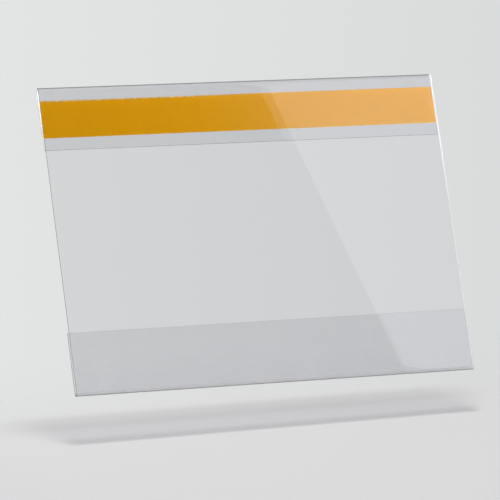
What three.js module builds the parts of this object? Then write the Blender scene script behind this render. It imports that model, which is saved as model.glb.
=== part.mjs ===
// Self-adhesive pocket: one sheet of clear rigid film, folded over at the top and the bottom,
// with a strip of double-sided tape and its amber release liner on the back of the upper lip.
//
// Millimetres. X runs across the pocket, Z points up and the window looks towards -Y.
// The origin is the middle of the adhesive face that goes against the wall, which is the plane Y = 0.

import * as THREE from "three";

// The film sheet
const filmWidth = 212;
const pocketHeight = 154.5;
const filmThickness = 0.5;

// The two folds and the lips behind the window
const foldInnerRadius = 1;
const lipLength = 31.5;
const lipEdgeGap = 1.8;
const creaseGap = 0.05;

// The tape on the upper lip
const tapeWidth = 19;
const tapeEndInset = 0;
const adhesiveThickness = 0.08;
const carrierThickness = 0.04;
const linerThickness = 0.1;

const arcSegments = 16;

// Both folds turn the film back on itself round the same inner radius.
const foldOuterRadius = foldInnerRadius + filmThickness;
const foldToFold = pocketHeight - 2 * foldOuterRadius;
const lipReach = lipLength - foldOuterRadius;

// A fold turns a little further than half a turn, so that its lip leans towards the window and its
// free edge stands lipEdgeGap behind it. This is the turn that brings the edge there: it solves
// foldInnerRadius * (1 + cos(lean)) - lipReach * sin(lean) = lipEdgeGap.
const edgeDistance = Math.hypot(foldInnerRadius, lipReach);
const edgeDirection = Math.atan2(lipReach, foldInnerRadius);
const lipLean = Math.acos((lipEdgeGap - foldInnerRadius) / edgeDistance) - edgeDirection;

// The tape's three layers fill the space between the upper lip and the wall plane.
const tapeThickness = 2 * adhesiveThickness + carrierThickness;
const tapeLength = filmWidth - 2 * tapeEndInset;
const foldCentreY = -(tapeThickness + foldOuterRadius);
const foldCentreZ = lipLength / 2 - foldOuterRadius;

const clearFilm = { color: 0xe4e6e8, roughness: 0.05, metalness: 0, transparent: true, opacity: 0.3 };
const clearAdhesive = { color: 0xe8e6df, roughness: 0.35, metalness: 0, transparent: true, opacity: 0.4 };
const clearCarrier = { color: 0xeceeee, roughness: 0.15, metalness: 0, transparent: true, opacity: 0.3 };
const amberLiner = { color: 0xce8a01, roughness: 0.3, metalness: 0 };

function namedMesh(name, geometry, finish) {
  const mesh = new THREE.Mesh(geometry, new THREE.MeshStandardMaterial(finish));
  mesh.name = name;
  return mesh;
}

// Carries a profile drawn in the Y-Z plane across the full width of the film.
function acrossTheFilm(profile) {
  const geometry = new THREE.ExtrudeGeometry(profile, {
    depth: filmWidth,
    bevelEnabled: false,
    curveSegments: arcSegments,
  });
  geometry.translate(0, 0, -filmWidth / 2);
  geometry.applyMatrix4(
    new THREE.Matrix4().makeBasis(
      new THREE.Vector3(0, 1, 0),
      new THREE.Vector3(0, 0, 1),
      new THREE.Vector3(1, 0, 0),
    ),
  );
  return geometry;
}

// The window and both rolled folds in one piece. The origin is the centre of the upper fold,
// and the window hangs straight down in front of it. Each fold ends where its lip begins.
function windowProfile() {
  const profile = new THREE.Shape();
  const fullTurn = 2 * Math.PI;
  profile.absarc(0, 0, foldInnerRadius, -lipLean, Math.PI, false);
  profile.absarc(0, -foldToFold, foldInnerRadius, Math.PI, fullTurn + lipLean, false);
  profile.absarc(0, -foldToFold, foldOuterRadius, fullTurn + lipLean, Math.PI, true);
  profile.absarc(0, 0, foldOuterRadius, Math.PI, -lipLean, true);
  profile.closePath();
  return profile;
}

// A lip is flat. It starts creaseGap past the end of its fold and runs away from the fold's
// centre, in the direction given by way: -1 down from the upper fold, 1 up from the lower one.
function lipProfile(way) {
  const profile = new THREE.Shape();
  profile.moveTo(foldInnerRadius, way * creaseGap);
  profile.lineTo(foldOuterRadius, way * creaseGap);
  profile.lineTo(foldOuterRadius, way * lipReach);
  profile.lineTo(foldInnerRadius, way * lipReach);
  profile.closePath();
  return profile;
}

// One layer of the tape, from the plane Y = front to the plane Y = back.
function tapeLayer(name, front, back, finish) {
  const layer = namedMesh(name, new THREE.BoxGeometry(tapeLength, back - front, tapeWidth), finish);
  layer.position.y = (front + back) / 2;
  return layer;
}

function tapeStack() {
  const stack = new THREE.Group();
  const carrierFront = -(adhesiveThickness + carrierThickness);
  stack.add(tapeLayer("film_side_adhesive", -tapeThickness, carrierFront, clearAdhesive));
  stack.add(tapeLayer("tape_carrier", carrierFront, -adhesiveThickness, clearCarrier));
  stack.add(tapeLayer("wall_side_adhesive", -adhesiveThickness, 0, clearAdhesive));
  stack.add(tapeLayer("release_liner", 0, linerThickness, amberLiner));
  return stack;
}

// The upper lip stands upright against the tape. The window hangs from the upper fold and leans by
// lipLean, and the lower lip leans by as much again against the window.
const upperFold = new THREE.Group();
upperFold.position.set(0, foldCentreY, foldCentreZ);
upperFold.add(namedMesh("upper_lip_film", acrossTheFilm(lipProfile(-1)), clearFilm));

const hangingWindow = new THREE.Group();
hangingWindow.rotation.x = lipLean;
hangingWindow.add(namedMesh("window_film", acrossTheFilm(windowProfile()), clearFilm));
upperFold.add(hangingWindow);

const lowerFold = new THREE.Group();
lowerFold.position.z = -foldToFold;
lowerFold.rotation.x = lipLean;
lowerFold.add(namedMesh("lower_lip_film", acrossTheFilm(lipProfile(1)), clearFilm));
hangingWindow.add(lowerFold);

const pocket = new THREE.Group();
pocket.add(upperFold);
pocket.add(tapeStack());

export default pocket;
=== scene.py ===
# %% [markdown]
# # A self-adhesive pocket in Blender
#
# The real object is one sheet of clear rigid film. It is folded over at the top and at the
# bottom, so that a sheet of paper can slide in from the side, and a strip of double-sided tape
# under an amber release liner holds it on a wall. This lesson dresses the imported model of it:
# the film as refracting sheets, the tape as a clear laminate, the liner as a satin strip.

import bpy
import numpy as np
from mathutils import Matrix, Vector


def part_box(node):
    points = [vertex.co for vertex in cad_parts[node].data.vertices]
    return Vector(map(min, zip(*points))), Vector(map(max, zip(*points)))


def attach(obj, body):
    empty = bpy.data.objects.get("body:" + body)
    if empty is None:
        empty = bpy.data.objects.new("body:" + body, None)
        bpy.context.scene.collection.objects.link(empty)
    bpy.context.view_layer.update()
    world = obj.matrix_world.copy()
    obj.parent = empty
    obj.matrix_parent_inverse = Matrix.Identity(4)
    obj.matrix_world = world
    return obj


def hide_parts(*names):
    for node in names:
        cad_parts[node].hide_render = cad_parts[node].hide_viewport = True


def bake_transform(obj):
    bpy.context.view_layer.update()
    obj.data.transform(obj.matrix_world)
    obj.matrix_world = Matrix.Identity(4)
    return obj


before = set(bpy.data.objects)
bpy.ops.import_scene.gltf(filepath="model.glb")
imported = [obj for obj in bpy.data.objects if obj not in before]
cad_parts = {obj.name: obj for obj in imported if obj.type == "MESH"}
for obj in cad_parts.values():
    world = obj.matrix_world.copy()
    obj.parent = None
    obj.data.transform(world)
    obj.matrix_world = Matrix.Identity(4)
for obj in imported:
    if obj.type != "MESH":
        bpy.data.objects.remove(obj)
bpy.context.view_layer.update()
MM = 0.001


def in_mm(corners):
    """The corners of a box, or one point, in millimetres, rounded for printing."""
    return (np.array(corners) / MM).round(2).tolist()


print("nodes:", sorted(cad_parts))

# %% [markdown]
# ## Sizes
#
# A rolled fold turns the film round the fold's centre, a little further than half a turn. Its
# outer radius is half the depth between the lip's back and the window's front, and the window
# leans as the line between the centres of the two folds does. All of it could be typed in again
# from the drawing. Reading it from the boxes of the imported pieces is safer, because a changed
# size then changes the scene too.

# %% Read the folds and the lean from the frame
lip_low, lip_high = (np.array(c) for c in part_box("upper_lip_film"))
window_low, window_high = (np.array(c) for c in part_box("window_film"))
film_thickness = lip_high[1] - lip_low[1]
half_width = window_high[0]
fold_radius = (lip_high[1] - window_low[1]) / 2

upper_centre = np.array([0, lip_high[1] - fold_radius, window_high[2] - fold_radius])
lower_centre = np.array([0, window_high[1] - fold_radius, window_low[2] + fold_radius])
fold_to_fold = np.linalg.norm(upper_centre - lower_centre)
lean = np.arctan2(lower_centre[1] - upper_centre[1], upper_centre[2] - lower_centre[2])
print("film and fold radius, mm:", in_mm([film_thickness, fold_radius]))
print("lean, degrees:", round(float(np.degrees(lean)), 3))

# %% [markdown]
# ## Colours and nodes
#
# Colours are written as sRGB hex values, as a paint chart gives them, and one function turns
# them into the linear values that the renderer works with. A material could be wired by hand in
# the shader editor. In a script, one function that adds a node, sets it and links it is enough.

# %% Helpers for colours and nodes


def linear(hex_colour, alpha=1.0):
    """sRGB to linear: c / 12.92 below 0.04045, else ((c + 0.055) / 1.055) to the power 2.4."""
    value = hex_colour.lstrip("#")
    srgb = np.array([int(value[i : i + 2], 16) for i in (0, 2, 4)]) / 255
    low, high = srgb / 12.92, ((srgb + 0.055) / 1.055) ** 2.4
    return (*np.where(srgb <= 0.04045, low, high).tolist(), alpha)


def add(tree, kind, inputs=(), **settings):
    """Adds a node, sets its properties and fills its inputs, by name or in their order.

    A socket is linked, a node is linked by its first output in use, and the rest are values.
    In order, a MapRange takes its value, the two ends of the range that it reads, and the results
    at those ends, which are 0 and 1 where they are left out. Past the ends it stays level.
    """
    node = tree.nodes.new("ShaderNode" + kind)
    for name, value in settings.items():
        setattr(node, name, value)
    pairs = inputs.items() if isinstance(inputs, dict) else enumerate(inputs)
    for key, value in pairs:
        if isinstance(value, bpy.types.Node):
            value = next(socket for socket in value.outputs if socket.enabled)
        if isinstance(value, bpy.types.NodeSocket):
            tree.links.new(value, node.inputs[key])
        else:
            node.inputs[key].default_value = value
    return node


def new_material(name):
    """An empty node material, its tree, and the Object coordinates of the point on show."""
    material = bpy.data.materials.new(name)
    material.use_nodes = True
    tree = material.node_tree
    tree.nodes.clear()
    return material, tree, add(tree, "TexCoord").outputs["Object"]


print("a middle grey in linear values:", [round(c, 3) for c in linear("#808080")])

# %% [markdown]
# ## Clear rigid film
#
# The pocket is rigid PVC film, rolled smooth between polished rollers. It is clear and glossy
# and bends light as glass does, so the eye sees little of it but mirror images, a faint grey and
# its edges. A see-through alpha would be quicker, but it has no mirror image that grows towards
# grazing light, and its folds would show no dark lines. So the film is a fully transmitting
# shader. Flow lines from the rollers and scuffs where the lower lip rubs on the window make it a
# used sheet and not a computed one. Its ends get a painted glow: white painted where the film
# leads the overhead light out at its cut edges.

# %% Flow lines and scuffs of the film
STREAK_LENGTH, STREAK_HEIGHT = 125 * MM, 11 * MM
STREAK_ROUGHNESS = 0.015
SCUFF_WIDTH, SCUFF_PATCH = 2.2 * MM, 14 * MM
SCUFF_SHARE = 0.02


def flow_lines(tree, place):
    """Roughness from the rollers: noise that is stretched into long, low streaks."""
    scale = (1 / STREAK_LENGTH, 1 / STREAK_HEIGHT, 1 / STREAK_HEIGHT)
    streaks = add(tree, "Mapping", {"Vector": place, "Scale": scale})
    uneven = add(tree, "TexNoise", {"Vector": streaks, "Scale": 1.0, "Detail": 2.0})
    return add(tree, "MapRange", [uneven, 0.0, 1.0, 0.0, STREAK_ROUGHNESS])


def scuffs(tree, place, height):
    """Light marks where fine and coarse noise both pass 0.55, below the lower lip's upper edge.

    Real scuffs are a few hundredths of a millimetre wide. They are drawn 2.2 mm wide, because a
    pixel is half a millimetre here, and so faint that they only break up the mirror image.
    """
    lip_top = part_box("lower_lip_film")[1][2]
    marks = add(tree, "TexNoise", {"Vector": place, "Scale": 1 / SCUFF_WIDTH, "Detail": 1.0})
    patches = add(tree, "TexNoise", {"Vector": place, "Scale": 1 / SCUFF_PATCH, "Detail": 1.0})
    scratched = add(tree, "MapRange", [marks, 0.55, 0.7, 0.0, SCUFF_SHARE])
    rubbed = add(tree, "MapRange", [patches, 0.55, 0.65])
    below = add(tree, "MapRange", [height, lip_top, lip_top - 1.0 * MM])
    in_patches = add(tree, "Math", [scratched, rubbed], operation="MULTIPLY")
    return add(tree, "Math", [in_patches, below], operation="MULTIPLY")


print("streaks and scuffs, mm:", in_mm([STREAK_LENGTH, STREAK_HEIGHT, SCUFF_WIDTH]))

# %% [markdown]
# The upper lip's left end has a painted glow, white where the film leads the overhead light out
# at its cut end, fading out down the lip. The window has a faint painted glow at its right end.
# A painted map could place them, but distances from the piece's own edges do it at any resolution.

# %% Painted glow at the film's ends
# The painted glow: how white the lip's left end and the window's right end are, and where it
# fades.
LIP_PAINTED_GLOW = 0.6
LIP_FADES_OUT = lip_low[2] + 3 * MM
WINDOW_PAINTED_GLOW = 0.06, 0.22
WINDOW_FADES = -50 * MM, -8 * MM


def painted_end_glow(tree, x, y, z):
    """How much painted glow a point has: on its layer, times near its end, times its fading down.

    The lip is told from the window by y, and the white is about half a millimetre wide. The left
    end of the lip and the right end of the window are added up.
    """
    on_lip = add(tree, "MapRange", [y, lip_low[1] - 0.4 * MM, lip_low[1] - 0.2 * MM])
    on_window = add(tree, "Math", [1.0, on_lip], operation="SUBTRACT")
    at_left = [x, -half_width + 0.8 * MM, -half_width + 0.5 * MM]
    at_right = [x, half_width - 0.65 * MM, half_width - 0.45 * MM]
    down_lip = [z, LIP_FADES_OUT, lip_high[2], 0.0, LIP_PAINTED_GLOW]
    down_window = [z, *WINDOW_FADES, *WINDOW_PAINTED_GLOW]
    ends = []
    for layer, at_end, fading in (on_lip, at_left, down_lip), (on_window, at_right, down_window):
        strip = add(tree, "Math", [layer, add(tree, "MapRange", at_end)], operation="MULTIPLY")
        faded = [strip, add(tree, "MapRange", fading)]
        ends.append(add(tree, "Math", faded, operation="MULTIPLY"))
    return add(tree, "Math", ends, operation="ADD")


print("the lip's left end is white from z, mm:", in_mm(LIP_FADES_OUT), "up")

# %% [markdown]
# A transmitting shader has one fault: its shadow is black, because a ray tracer doesn't look for
# a lamp through a bend. Caustics would mend that with many samples. Here rays on their way to a
# lamp meet a faintly grey veil instead, which darkens where the film is seen edge-on, as the
# real film's shadow has dark lines at its folds. A Mix node of colours is filled by the numbers
# of its inputs, because its named ones exist once for each kind of value.

# %% Material of the clear film
PVC_IOR = 1.53
FILM_GREY = linear("#F8F8FA")
BLACK = linear("#000000")
EDGE_ON_POWER = 4.0
SHARE, COLOUR_A, COLOUR_B = 0, 6, 7


def clear_film_material():
    """Calendered rigid PVC, 0.5 mm: clear and glossy, a trace of grey."""
    material, tree, place = new_material("clear_rigid_pvc")
    film = {
        "Base Color": FILM_GREY,
        "Roughness": flow_lines(tree, place),
        "IOR": PVC_IOR,
        "Transmission Weight": 1.0,
    }
    sheet = add(tree, "BsdfPrincipled", film)
    facing = add(tree, "LayerWeight", {"Blend": 0.5}).outputs["Facing"]
    edge_on = add(tree, "Math", [facing, EDGE_ON_POWER], operation="POWER")
    darkened = {SHARE: edge_on, COLOUR_A: FILM_GREY, COLOUR_B: BLACK}
    veil = add(tree, "BsdfTransparent", [add(tree, "Mix", darkened, data_type="RGBA")])
    to_lamp = add(tree, "LightPath").outputs["Is Shadow Ray"]
    clear = add(tree, "MixShader", [to_lamp, sheet, veil])
    x, y, z = add(tree, "SeparateXYZ", [place]).outputs
    # Painted glow at the ends and real scuffs are both drawn by the white diffuse shader below.
    marks = [painted_end_glow(tree, x, y, z), scuffs(tree, place, z)]
    glow_and_scuffs = add(tree, "Math", marks, operation="MAXIMUM")
    white = add(tree, "BsdfDiffuse", {"Color": linear("#FBFBFC")})
    add(tree, "OutputMaterial", [add(tree, "MixShader", [glow_and_scuffs, clear, white])])
    return material


clear_film = clear_film_material()
print("material:", clear_film.name, "with", len(clear_film.node_tree.nodes), "nodes")

# %% [markdown]
# ## Cut ends
#
# The sheet leads light to its edges as a light guide does. Where the shears tore the film, the
# end scatters that light and glows. Where a die pressed through it, the end is smooth, sends the
# light away, and shows as a grey line. Both could be left to the clear material, but half a
# millimetre is under one pixel here, so each kind of end has a plain material of its own.

# %% Materials of the cut ends
END_GLOW = 0.6, 1.0
LINER_LIGHT = linear("#FFECC4")
LIGHT_SPREAD = 0.5 * MM
DIE_MARK_SPACING = 3 * MM


def sheared_end_material():
    """A sheared PVC end: finely torn and white, brighter towards the overhead light.

    Level with the strip it is cream, because the film also leads the liner's light to its end.
    The strip's middle is at z = 0, so how far up or down a point lies tells if it is level.
    """
    material, tree, place = new_material("sheared_pvc_end")
    strip_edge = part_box("release_liner")[1][2]
    height = add(tree, "SeparateXYZ", [place]).outputs["Z"]
    led = add(tree, "MapRange", [height, window_low[2], window_high[2], *END_GLOW])
    white = add(tree, "CombineXYZ", [led, led, led])
    off_middle = add(tree, "Math", [height], operation="ABSOLUTE")
    edges = strip_edge + LIGHT_SPREAD, strip_edge - LIGHT_SPREAD
    level = add(tree, "MapRange", [off_middle, *edges])
    tinted = {SHARE: level, COLOUR_A: white, COLOUR_B: LINER_LIGHT}
    colour = add(tree, "Mix", tinted, data_type="RGBA")
    thrown_back = add(tree, "BsdfDiffuse", {"Color": colour})
    let_out = add(tree, "BsdfTranslucent", {"Color": colour})
    add(tree, "OutputMaterial", [add(tree, "MixShader", [0.5, thrown_back, let_out])])
    return material


def die_cut_edge_material():
    """A die-cut PVC edge, pressed smooth, faint marks of the die along it, dark grey as painted
    shade.
    """
    material, tree, place = new_material("die_cut_pvc_edge")
    spacing = {"Vector": place, "Scale": 1 / DIE_MARK_SPACING, "Detail": 1.0}
    marks = add(tree, "TexNoise", spacing)
    edge = {
        # The dark grey is painted shade, for the light that the smooth end sends away.
        "Base Color": linear("#3A3C3E"),
        "Roughness": add(tree, "MapRange", [marks, 0.3, 0.7, 0.2, 0.4]),
        "IOR": PVC_IOR,
    }
    add(tree, "OutputMaterial", [add(tree, "BsdfPrincipled", edge)])
    return material


sheared_end = sheared_end_material()
die_cut_edge = die_cut_edge_material()
print("materials:", sheared_end.name, "and", die_cut_edge.name)

# %% [markdown]
# ## Amber release liner
#
# The liner is polyester film, slit from a wide roll. Slitting leaves a thin pale rim along the
# lower edge. The left end has a pale painted highlight, where the end catches the light, and a
# worn blade leaves a ragged upper edge. Teeth cut into the outline would need thousands of faces.
# They are only seen as specks, so rim, highlight and teeth are drawn by how far a point lies from
# the strip's own edges.

# %% Edges of the liner, with a painted highlight at the left end
LOWER_RIM = 0.6
TOOTH_WIDTH, TOOTH_RUN = 1 * MM, 5 * MM
TIP_FROM, TIP_FULL = 0.7 * MM, 0.3 * MM
BITE_FROM, BITE_FULL = 1.3 * MM, 0.9 * MM
WORN_FROM, WORN_FULL = 15 * MM, -30 * MM
strip_bottom, strip_top = (corner[2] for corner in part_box("release_liner"))


def pale_rim_and_end_highlight(tree, x, z):
    """Paleness: 1 in the painted highlight at the left end, LOWER_RIM on the lower edge, else 0.
    """
    along_bottom = [z, strip_bottom + 0.3 * MM, strip_bottom + 0.1 * MM, 0.0, LOWER_RIM]
    at_left = [x, -half_width + 1.0 * MM, -half_width + 0.6 * MM]
    rims = [add(tree, "MapRange", along_bottom), add(tree, "MapRange", at_left)]
    return add(tree, "Math", rims, operation="MAXIMUM")


def ragged_top(tree, place, x, z):
    """Pale tips where noise along the edge is high, and dark bites where it is low.

    Each is a share from 0 to 1: in a tooth, times near the edge, times on the worn left half.
    Real teeth are a few tenths of a millimetre wide. They are drawn 1 mm wide, or they wouldn't
    show.
    """
    scale = (1 / TOOTH_WIDTH, 0.0, 1 / TOOTH_RUN)
    along = add(tree, "Mapping", {"Vector": place, "Scale": scale})
    teeth = add(tree, "TexNoise", {"Vector": along, "Scale": 1.0, "Detail": 1.0})
    worn = add(tree, "MapRange", [x, WORN_FROM, WORN_FULL])
    tips = [teeth, 0.48, 0.56], [z, strip_top - TIP_FROM, strip_top - TIP_FULL]
    bites = [teeth, 0.47, 0.39], [z, strip_top - BITE_FROM, strip_top - BITE_FULL]
    shares = []
    for in_tooth, near_edge in (tips, bites):
        masks = [add(tree, "MapRange", in_tooth), add(tree, "MapRange", near_edge)]
        at_edge = add(tree, "Math", masks, operation="MULTIPLY")
        shares.append(add(tree, "Math", [at_edge, worn], operation="MULTIPLY"))
    return shares


print("the strip from bottom to top, mm:", in_mm([strip_bottom, strip_top]))

# %% [markdown]
# The film is dyed amber and coated with silicone, so that it lets go of the adhesive. The dye
# makes it look solid and varies a little over a few centimetres. The coat mirrors more than
# plain film does: under the soft box the amber turns pale. A mix of a plain and a mirroring
# shader could do that, but one principled shader with a coat of a high index does both.

# %% Material of the liner
AMBER, CLOUDED_AMBER = "#FFB602", "#FAB102"
SHADED_AMBER, PALE_AMBER = "#CBA552", "#FFE7A6"
CLOUD_WIDTH = 17 * MM


def amber_liner_material():
    """Dyed polyester, satin, under a silicone coat that mirrors the soft box."""
    material, tree, place = new_material("amber_release_film")
    x, _, z = add(tree, "SeparateXYZ", [place]).outputs
    tips, bites = ragged_top(tree, place, x, z)
    # Pale amber on the lower rim, on the teeth's tips and as a painted highlight at the left end.
    pale = add(tree, "Math", [pale_rim_and_end_highlight(tree, x, z), tips], operation="MAXIMUM")
    clouds = add(tree, "TexNoise", {"Vector": place, "Scale": 1 / CLOUD_WIDTH, "Detail": 2.0})
    colour = linear(AMBER)
    for share, over in (clouds, CLOUDED_AMBER), (bites, SHADED_AMBER), (pale, PALE_AMBER):
        layered = {SHARE: share, COLOUR_A: colour, COLOUR_B: linear(over)}
        colour = add(tree, "Mix", layered, data_type="RGBA")
    liner = {
        "Base Color": colour,
        "Roughness": 0.22,
        "IOR": 1.5,
        "Coat Weight": 1.0,
        "Coat Roughness": 0.15,
        "Coat IOR": 2.5,
    }
    add(tree, "OutputMaterial", [add(tree, "BsdfPrincipled", liner)])
    return material


amber_liner = amber_liner_material()
print("material:", amber_liner.name, "with", len(amber_liner.node_tree.nodes), "nodes")

# %% [markdown]
# ## Clear tape
#
# The tape is acrylic adhesive on both sides of a clear carrier film, pressed onto the pocket
# film so that no air is left. Where two clear things touch without air, light hardly bends and
# hardly mirrors. So the tape's index is the ratio of the two, and not an index against air,
# which would put a grey veil over the amber.

# %% Material of the tape
ACRYLIC_IOR = 1.47
TAPE_YELLOW = linear("#FCFBF8")
STIPPLE_WIDTH = 4 * MM


def clear_tape_material():
    """Coated acrylic adhesive: clear, a trace of yellow, with a coarse, faint stipple."""
    material, tree, place = new_material("clear_acrylic_tape")
    stipple = add(tree, "TexNoise", {"Vector": place, "Scale": 1 / STIPPLE_WIDTH, "Detail": 1.0})
    tape = {
        "Base Color": TAPE_YELLOW,
        "Roughness": add(tree, "MapRange", [stipple, 0.3, 0.7, 0.0, 0.01]),
        "IOR": PVC_IOR / ACRYLIC_IOR,
        "Transmission Weight": 1.0,
    }
    strip = add(tree, "BsdfPrincipled", tape)
    veil = add(tree, "BsdfTransparent", {"Color": TAPE_YELLOW})
    to_lamp = add(tree, "LightPath").outputs["Is Shadow Ray"]
    add(tree, "OutputMaterial", [add(tree, "MixShader", [to_lamp, strip, veil])])
    return material


clear_tape = clear_tape_material()
print("material:", clear_tape.name, "with index", round(PVC_IOR / ACRYLIC_IOR, 3))

# %% [markdown]
# ## A sheet with a wall
#
# Film, tape and liner are all the same kind of form: a sheet with a thickness. A plane with a
# Solidify modifier would do, but its wall can't be told where to change its material. So the
# mesh is worked out from two grids of points, one for each face, joined round the four borders.

# %% Quads of a sheet


def sheet_quads(columns, rows):
    """Both faces of a sheet and the four strips that close it, as arrays of point numbers.

    Point (i, j) of the front has number i * rows + j, and the point behind it has that number
    plus columns * rows. A quad joins (i, j), (i+1, j), (i+1, j+1) and (i, j+1).
    """
    number = np.arange(columns * rows).reshape(columns, rows)
    behind = number + columns * rows
    corners = [number[:-1, :-1], number[1:, :-1], number[1:, 1:], number[:-1, 1:]]
    face = np.stack(corners, axis=-1).reshape(-1, 4)
    quads = {"front": face, "back": (face + columns * rows)[:, ::-1]}
    borders = {
        "first_row": (number[:, 0], behind[:, 0]),
        "last_row": (number[::-1, -1], behind[::-1, -1]),
        "left_end": (number[0, ::-1], behind[0, ::-1]),
        "right_end": (number[-1], behind[-1]),
    }
    for border, (near, far) in borders.items():
        quads[border] = np.stack([near[1:], near[:-1], far[:-1], far[1:]], axis=-1)
    return quads


print("a sheet of 2 by 2 points is a box:", sum(map(len, sheet_quads(2, 2).values())), "quads")

# %% A closed sheet from its two faces
SHARP_ANGLE = np.radians(30)


def closed_sheet(name, front, back, materials, border_slots=None):
    """A closed mesh between two grids of points of shape (columns, rows, 3).

    Its faces have the first material. For a border that it names, border_slots lists pairs of a
    row and the number of the material that the strip has up to that row.
    """
    columns, rows = front.shape[:2]
    quads = sheet_quads(columns, rows)
    slots = {part: np.zeros(len(faces), int) for part, faces in quads.items()}
    for border, limits in (border_slots or {}).items():
        row = quads[border][:, 0] % rows
        stops, numbers = zip(*limits)
        slots[border] = np.select([row < stop for stop in stops], numbers, 0)
    mesh = bpy.data.meshes.new(name)
    points = np.concatenate([front.reshape(-1, 3), back.reshape(-1, 3)])
    mesh.from_pydata(points.tolist(), [], np.concatenate(list(quads.values())).tolist())
    for material in materials:
        mesh.materials.append(material)
    mesh.polygons.foreach_set("material_index", np.concatenate(list(slots.values())))
    mesh.shade_smooth()
    mesh.set_sharp_from_angle(angle=SHARP_ANGLE)
    piece = bpy.data.objects.new(name, mesh)
    bpy.context.scene.collection.objects.link(piece)
    return piece


def print_volume(piece):
    """A sixth of the sum of a . (b x c) over the triangles, positive if all point outwards."""
    mesh = piece.data
    mesh.calc_loop_triangles()
    corners = np.zeros(len(mesh.vertices) * 3)
    mesh.vertices.foreach_get("co", corners)
    index = np.zeros(len(mesh.loop_triangles) * 3, int)
    mesh.loop_triangles.foreach_get("vertices", index)
    a, b, c = corners.reshape(-1, 3)[index.reshape(-1, 3)].transpose(1, 0, 2)
    volume = float(np.einsum("ij,ij->i", a, np.cross(b, c)).sum() / 6)
    print(piece.name, "volume, mm3:", round(volume / MM**3, 1), "quads:", len(mesh.polygons))


print("edges stay sharp from, degrees:", round(float(np.degrees(SHARP_ANGLE))))

# %% [markdown]
# ## The pocket film
#
# The real film is scored, warmed and folded, so it turns on a smooth round, which shows as a
# bright and a dark line along the top. A bevelled box would give the line a flat look. Instead
# the film is followed along its middle line: up the back lip, round the upper fold, down the
# window and round the lower fold. A point on a face lies half the thickness to one side of that
# line, and the whole line is carried across the width of the pocket.

# %% The film's middle line
FOLD_STEPS = 25
WINDOW_STEPS = 60
LIP_STEPS = 16
HALF_TURN = np.pi


def arc(centre, radius, start, stop, steps):
    """Points on a circle in the Y-Z plane: centre + radius * (cos, sin), with the normals."""
    angle = np.linspace(start, stop, steps)
    normal = np.stack([np.cos(angle), np.sin(angle)], axis=-1)
    return centre + radius * normal, normal


def straight(start, stop, normal, steps):
    """Points on a straight stretch without its ends, all with the same normal."""
    share = np.linspace(0, 1, steps)[1:-1, None]
    return start + share * (stop - start), np.repeat(normal[None], steps - 2, axis=0)


middle_radius = fold_radius - film_thickness / 2
window_turn = HALF_TURN + lean
upper_arc, upper_normals = arc(upper_centre[1:], middle_radius, 0, window_turn, FOLD_STEPS)
lower_arc, lower_normals = arc(
    lower_centre[1:], middle_radius, window_turn, 2 * window_turn, FOLD_STEPS
)
lip_end = np.array([lip_low[1] + film_thickness / 2, lip_low[2]])
lip_run, lip_normals = straight(lip_end, upper_arc[0], upper_normals[0], LIP_STEPS)
window_run, window_normals = straight(
    upper_arc[-1], lower_arc[0], upper_normals[-1], WINDOW_STEPS
)
middle_line = np.concatenate([lip_end[None], lip_run, upper_arc, window_run, lower_arc])
line_normals = np.concatenate(
    [upper_normals[:1], lip_normals, upper_normals, window_normals, lower_normals]
)
print("middle line:", len(middle_line), "points")

# %% [markdown]
# The line is the film seen from its end. A curve object with a bevel could carry it across, but
# its ends would have one material. Here the rows of points are known by number, and so is where
# an end changes. The left end is sheared on the lip and up to the middle of the upper fold, and
# die-cut from there on. The right end is clear on the lip and sheared on the rest.

# %% Carry the line across the width
WIDTH_STEPS = 49


def across(line, normals, offset):
    """A grid of points (x, y, z): the line moved along its normals by offset, for each x."""
    x = np.linspace(-half_width, half_width, WIDTH_STEPS)
    grid = np.empty((len(x), len(line), 3))
    grid[..., 0] = x[:, None]
    grid[..., 1:] = line + offset * normals
    return grid


def film_piece(name, line, normals, border_slots):
    """A stretch of film with its outer face half a thickness outside the middle line."""
    outer = across(line, normals, film_thickness / 2)
    inner = across(line, normals, -film_thickness / 2)
    return closed_sheet(name, inner, outer, [clear_film, sheared_end, die_cut_edge], border_slots)


CLEAR, SHEARED, DIE_CUT = 0, 1, 2
lip_rows = 1 + len(lip_run)
half_fold_rows = FOLD_STEPS // 2
all_rows = len(middle_line)
pocket_borders = {
    "first_row": [(1, DIE_CUT)],
    "left_end": [(lip_rows - 1 + half_fold_rows, SHEARED), (all_rows, DIE_CUT)],
    "right_end": [(lip_rows - 1, CLEAR), (all_rows, SHEARED)],
}
pocket_film = film_piece("pocket_film", middle_line, line_normals, pocket_borders)
print_volume(pocket_film)

# %% [markdown]
# The lower lip is a flat piece of the same sheet. It is a piece of its own here, because it turns
# on a body of its own. It starts just past the end of the lower fold and leans back by twice the
# window's lean, so that its free edge comes closer to the window.

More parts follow.
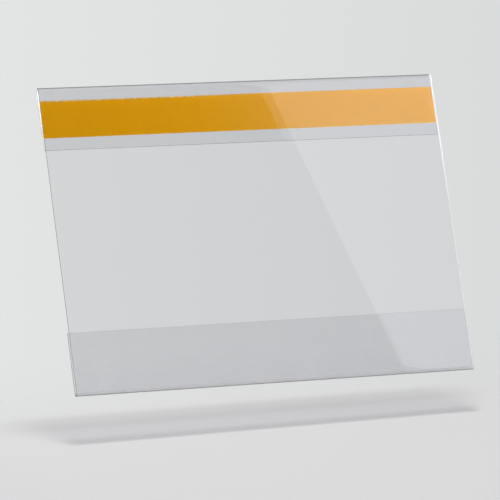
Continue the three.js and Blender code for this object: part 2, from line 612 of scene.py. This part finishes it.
# %% The lower lip
lip_angle = 2 * lean
lip_direction = np.array([-np.sin(lip_angle), np.cos(lip_angle)])
lip_normal = np.array([np.cos(lip_angle), np.sin(lip_angle)])
crease_gap = upper_centre[2] - lip_high[2]
lip_reach = upper_centre[2] - lip_low[2]
lip_foot = lower_centre[1:] + middle_radius * lip_normal
from_foot = np.linspace(crease_gap, lip_reach, LIP_STEPS)[:, None]
lower_line = lip_foot + from_foot * lip_direction
lower_normals = np.repeat(lip_normal[None], LIP_STEPS, axis=0)
lip_borders = {"left_end": [(LIP_STEPS, DIE_CUT)], "right_end": [(LIP_STEPS, SHEARED)]}
lower_lip = film_piece("lower_lip_sheet", lower_line, lower_normals, lip_borders)
print_volume(lower_lip)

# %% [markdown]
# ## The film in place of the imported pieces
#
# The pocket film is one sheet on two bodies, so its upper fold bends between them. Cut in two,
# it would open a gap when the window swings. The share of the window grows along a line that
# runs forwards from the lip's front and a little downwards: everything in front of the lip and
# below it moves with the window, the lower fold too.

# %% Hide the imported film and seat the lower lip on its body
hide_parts("window_film", "upper_lip_film")
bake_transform(pocket_film)
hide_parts("lower_lip_film")
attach(lower_lip, "lower_lip")

# %% [markdown]
# ## The tape
#
# The tape is a laminate of adhesive, carrier film and adhesive. Its layers wet each other and
# can't be told apart, so they are drawn as one clear strip, with the amber liner behind it. A
# ray tracer loses its way between two faces in one place, so the strips are drawn a hundredth
# of a millimetre clear of their neighbours.

# %% Tape and liner
LAYER_CLEARANCE = 0.01 * MM
STRIP_COLUMNS = 43
STRIP_ROWS = 9


def flat_strip(name, nodes, body, material):
    """A flat strip in the place of some nodes: their common box, with its two faces drawn in."""
    boxes = np.array([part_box(node) for node in nodes])
    low, high = boxes[:, 0].min(axis=0), boxes[:, 1].max(axis=0)
    front = np.empty((STRIP_COLUMNS, STRIP_ROWS, 3))
    front[..., 0] = np.linspace(low[0], high[0], STRIP_COLUMNS)[:, None]
    front[..., 1] = low[1] + LAYER_CLEARANCE
    front[..., 2] = np.linspace(low[2], high[2], STRIP_ROWS)
    back = front.copy()
    back[..., 1] = high[1] - LAYER_CLEARANCE
    strip = closed_sheet(name, front, back, [material])
    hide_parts(*nodes)
    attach(strip, body)
    print_volume(strip)


tape_nodes = ["film_side_adhesive", "tape_carrier", "wall_side_adhesive"]
flat_strip("clear_tape", tape_nodes, "upper_lip", clear_tape)
flat_strip("amber_liner", ["release_liner"], "liner", amber_liner)

# %% [markdown]
# ## The camera
#
# The photograph is taken from the left of the pocket and a little below its middle, with a long
# lens. A camera could be turned by eye until the outline fits. Here its directions and its place
# were solved from where the pocket's edges lie in the photograph. They are written in the
# pocket's own directions, which are across it, back through it and up it, and in widths of the
# pocket, so they would fit a pocket of any size.

# %% Place the camera
FOCAL_LENGTH = 270.56
SENSOR_WIDTH = 36
CAMERA_AWAY, CAMERA_TO_LEFT, CAMERA_DOWN = 8.7988, 0.0214, 0.0468
CAMERA_RIGHT = (0.92549, -0.35428, -0.13401)
CAMERA_UP = (0.05012, -0.23614, 0.97043)
CAMERA_BACK = (-0.37545, -0.90483, -0.20079)

width = 2 * half_width
across_x = np.array([1.0, 0, 0])
window_up = np.array([0, -np.sin(lean), np.cos(lean)])
window_front = np.array([0, -np.cos(lean), -np.sin(lean)])
panel_centre = (upper_centre + lower_centre) / 2 + fold_radius * window_front
basis = np.stack([across_x, -window_front, window_up], axis=-1)

camera_right = basis @ CAMERA_RIGHT
camera_up = basis @ CAMERA_UP
camera_back = basis @ CAMERA_BACK
camera_place = panel_centre + width * (
    CAMERA_AWAY * camera_back - CAMERA_TO_LEFT * camera_right - CAMERA_DOWN * camera_up
)

camera_data = bpy.data.cameras.new("camera")
camera_data.lens = FOCAL_LENGTH
camera_data.sensor_width = SENSOR_WIDTH
camera = bpy.data.objects.new("camera", camera_data)
bpy.context.scene.collection.objects.link(camera)
turn = Matrix([camera_right, camera_up, camera_back]).transposed()
camera.matrix_world = Matrix.Translation(Vector(camera_place)) @ turn.to_4x4()
bpy.context.scene.camera = camera
print("camera at, mm:", in_mm(camera_place))

# %% [markdown]
# ## The background
#
# The studio's background is a pale paper sweep. A real sweep behind the pocket would do, but it
# would have to be lit, and that light would fall on the pocket too. So the world shows the
# paper's colour to each ray that meets it directly or through the film, and gives the object
# only a weak even light. What the film mirrors is the studio: its pale back wall at grazing
# angles, and its dark front towards the camera. That makes the window look clear and not milky.

# %% World
WHITE = linear("#FFFFFF")
PAPER_LEFT, PAPER_RIGHT = linear("#E3E5E4"), linear("#DADCDC")
PICTURE_EDGE = 0.068
EVEN_LIGHT = 0.12
WALL_IN_MIRROR = 0.33
WALL_BRIGHT, WALL_DARK = -0.065, 0.535


def mirrored_ray(tree):
    """1 for a ray that a surface has mirrored on its way here, and 0 for any other."""
    depth = add(tree, "LightPath").outputs["Glossy Depth"]
    return add(tree, "Math", [depth, 0.5], operation="GREATER_THAN")


def studio_world():
    """Pale grey behind the object, a little darker to the right, and dark in the mirror.

    The paper's colour goes by a direction's dot product with the camera's right, which is
    PICTURE_EDGE at the picture's right edge, and the wall's light by that with the way forwards.
    """
    world = bpy.data.worlds.new("studio")
    bpy.context.scene.world = world
    world.use_nodes = True
    tree = world.node_tree
    tree.nodes.clear()
    direction = add(tree, "TexCoord").outputs["Generated"]
    to_right = [direction, tuple(camera_right)]
    sideways = add(tree, "VectorMath", to_right, operation="DOT_PRODUCT")
    paper = {
        SHARE: add(tree, "MapRange", [sideways, -PICTURE_EDGE, PICTURE_EDGE]),
        COLOUR_A: PAPER_LEFT,
        COLOUR_B: PAPER_RIGHT,
    }
    seen = add(tree, "Background", [add(tree, "Mix", paper, data_type="RGBA"), 1.0])
    to_front = [direction, (0, camera_back[1], camera_back[2])]
    frontwards = add(tree, "VectorMath", to_front, operation="DOT_PRODUCT")
    wall = add(tree, "MapRange", [frontwards, WALL_BRIGHT, WALL_DARK, WALL_IN_MIRROR, 0.0])
    in_mirror = add(tree, "Background", [WHITE, wall])
    light = add(tree, "Background", [WHITE, EVEN_LIGHT])

    mirrored = mirrored_ray(tree)
    path = add(tree, "LightPath").outputs
    passed = [path["Is Camera Ray"], path["Is Transmission Ray"]]
    unbent = add(tree, "Math", passed, operation="MAXIMUM")
    direct = add(tree, "Math", [unbent, mirrored], operation="SUBTRACT", use_clamp=True)
    unseen = add(tree, "MixShader", [mirrored, light, in_mirror])
    add(tree, "OutputWorld", [add(tree, "MixShader", [direct, unseen, seen])])
    return world


world = studio_world()
print("world:", world.name, "with", len(world.node_tree.nodes), "nodes")

# %% [markdown]
# ## The floor
#
# The pocket leans back by 21 degrees, hovers a little above a matt white floor and throws a soft
# shadow on it. A large plane with a hard edge would show against the world, so this one fades out
# towards its rim. It glows a little, as white paper does that gets light from the whole room, so
# that the shadow stays pale. In the mirror it is dimmer. Seen from below it isn't there.

# %% Flat cards
STUDIO_UP = (-0.0115, -0.3605, 0.9326)


def flat_card(name, origin, side, depth, corners, material):
    """A flat polygon with corners (s, t) at origin + s * side + t * depth, and UV = (s, t)."""
    corners = np.array(corners, float)
    points = origin + corners[:, :1] * side + corners[:, 1:] * depth
    mesh = bpy.data.meshes.new(name)
    mesh.from_pydata(points.tolist(), [], [list(range(len(corners)))])
    layer = mesh.uv_layers.new(name="card")
    layer.data.foreach_set("uv", corners.ravel())
    mesh.materials.append(material)
    card = bpy.data.objects.new(name, mesh)
    bpy.context.scene.collection.objects.link(card)
    return card


studio_up = basis @ STUDIO_UP
print("the studio's up:", studio_up.round(3).tolist())

# %% Floor
FLOOR_DROP = 22.9 * MM
FLOOR_FORWARD = 0.3
FLOOR_HALF = 0.55
FLOOR_FADES = 0.6, 1.0
FLOOR_IN_MIRROR = 0.35
GLOW_FRONT, GLOW_BACK = 0.186, 0.232
GLOW_LEFT, GLOW_RIGHT = 0.055, -0.025


def floor_material():
    """Matt white paper with a glow that grows to the back and to the left.

    UV is the place from the floor's middle to its rim, so its length is the distance as a share.
    """
    material, tree, _ = new_material("studio_floor")
    place = add(tree, "TexCoord").outputs["UV"]
    distance = add(tree, "VectorMath", [place], operation="LENGTH")
    fade = add(tree, "MapRange", [distance, *FLOOR_FADES], interpolation_type="SMOOTHSTEP")
    under = add(tree, "NewGeometry").outputs["Backfacing"]
    gone = add(tree, "Math", [fade, under], operation="MAXIMUM")
    x, y, _ = add(tree, "SeparateXYZ", [place]).outputs
    to_back = add(tree, "MapRange", [y, 0.0, 0.6, GLOW_FRONT, GLOW_BACK])
    to_side = add(tree, "MapRange", [x, -0.25, 0.25, GLOW_LEFT, GLOW_RIGHT])
    glow = add(tree, "Emission", [WHITE, add(tree, "Math", [to_back, to_side], operation="ADD")])
    paper = add(tree, "AddShader", [add(tree, "BsdfDiffuse", [linear("#89898A")]), glow])
    dim = add(tree, "Emission", [WHITE, FLOOR_IN_MIRROR])
    shown = add(tree, "MixShader", [mirrored_ray(tree), paper, dim])
    nothing = add(tree, "BsdfTransparent")
    add(tree, "OutputMaterial", [add(tree, "MixShader", [gone, shown, nothing])])
    return material


floor_depth = np.cross(studio_up, across_x)
floor_side = np.cross(floor_depth, studio_up)
pocket_foot = panel_centre - (fold_to_fold / 2 + fold_radius) * window_up
floor_origin = pocket_foot - FLOOR_DROP * studio_up - FLOOR_FORWARD * floor_depth
flat_card(
    "studio_floor",
    floor_origin,
    FLOOR_HALF * floor_side,
    FLOOR_HALF * floor_depth,
    [(-1, -1), (1, -1), (1, 1), (-1, 1)],
    floor_material(),
)
print("the floor's middle, mm:", in_mm(floor_origin))

# %% [markdown]
# ## The lamps
#
# An overhead lamp throws the soft shadow straight down, and two large fills keep the amber and
# the ends at their own colours from the front and from behind. One strong lamp would burn out
# the pale floor. No lamp shows in the film: what the film mirrors comes from the next step.

# %% Lamps


def area_lamp(name, towards, distance, size, watts, shadow=True):
    """A square lamp that shines on the middle of the pocket from a direction."""
    data = bpy.data.lights.new(name, "AREA")
    data.shape = "SQUARE"
    data.size = size
    data.energy = watts
    data.use_shadow = shadow
    towards = Vector(towards).normalized()
    lamp = bpy.data.objects.new(name, data)
    lamp.location = Vector(panel_centre) + distance * towards
    lamp.rotation_euler = towards.to_track_quat("Z", "Y").to_euler()
    lamp.visible_glossy = False
    lamp.visible_transmission = False
    bpy.context.scene.collection.objects.link(lamp)
    print("lamp:", name, watts, "W at", distance, "m, side", size, "m")


front_right = camera_back + 1.5 * camera_right + 0.4 * camera_up
behind_above = 0.5 * camera_up - camera_back
area_lamp("overhead", studio_up, distance=1.2, size=0.24, watts=20)
area_lamp("front_fill", front_right, distance=1.0, size=0.7, watts=11.8, shadow=False)
area_lamp("back_fill", behind_above, distance=1.6, size=1.2, watts=20, shadow=False)

# %% [markdown]
# ## The soft box
#
# What the eye takes for gloss on a clear film is the soft box that it mirrors. Its one straight
# edge runs down the window at a slant. Painting that edge on the film would look right from one
# side only. A real card can be pushed about until its mirror image fits, or its place can be
# worked out: a line from the mirrored camera through a point of the window goes on to the point
# of the card that shows there. The card's corners are given by where they show on the window.

# %% Soft box card
CARD_DISTANCE = 0.9
SOFT_BOX_STRENGTH = 0.55


def window_point(across_share, up_share):
    """A point on the window's front, by its share of the width from the left and of the height."""
    height = fold_to_fold + 2 * fold_radius
    from_centre = (across_share - 0.5) * width * across_x + (up_share - 0.5) * height * window_up
    return panel_centre + from_centre


mirrored_camera = camera_place - 2 * (camera_place - panel_centre) @ window_front * window_front
card_normal = panel_centre - mirrored_camera
card_normal /= np.linalg.norm(card_normal)
card_centre = panel_centre + CARD_DISTANCE * card_normal


def on_card(point):
    """Where the line from the mirrored camera through a point of the window meets the card."""
    ray = point - mirrored_camera
    reach = (card_centre - mirrored_camera) @ card_normal / (ray @ card_normal)
    return mirrored_camera + reach * ray


def soft_box_material():
    """Even light, which only mirrored rays see: to all others the card isn't there."""
    material, tree, _ = new_material("studio_soft_box")
    glow = add(tree, "Emission", [WHITE, SOFT_BOX_STRENGTH])
    unseen = add(tree, "BsdfTransparent")
    add(tree, "OutputMaterial", [add(tree, "MixShader", [mirrored_ray(tree), unseen, glow])])
    return material


EDGE_LINE = [(0.516, 1.2), (0.871, -0.2)]
FAR_SIDE = [(1.8, -0.2), (1.8, 1.2)]
card_corners = np.array([on_card(window_point(*share)) for share in EDGE_LINE + FAR_SIDE])
card_side = card_corners[-1] - card_corners[0]
card_side /= np.linalg.norm(card_side)
card_height = np.cross(card_normal, card_side)
from_centre = card_corners - card_centre
outline = np.stack([from_centre @ card_side, from_centre @ card_height], axis=-1)
soft_box = flat_card(
    "studio_soft_box", card_centre, card_side, card_height, outline, soft_box_material()
)
soft_box.visible_camera = False
soft_box.visible_diffuse = False
soft_box.visible_shadow = False
print("soft box, m:", np.ptp(outline, axis=0).round(2).tolist())

# %% [markdown]
#
# The render shows the colours as they are, with no tone curve.

# %% Set the view and finish
bpy.context.scene.view_settings.view_transform = "Standard"
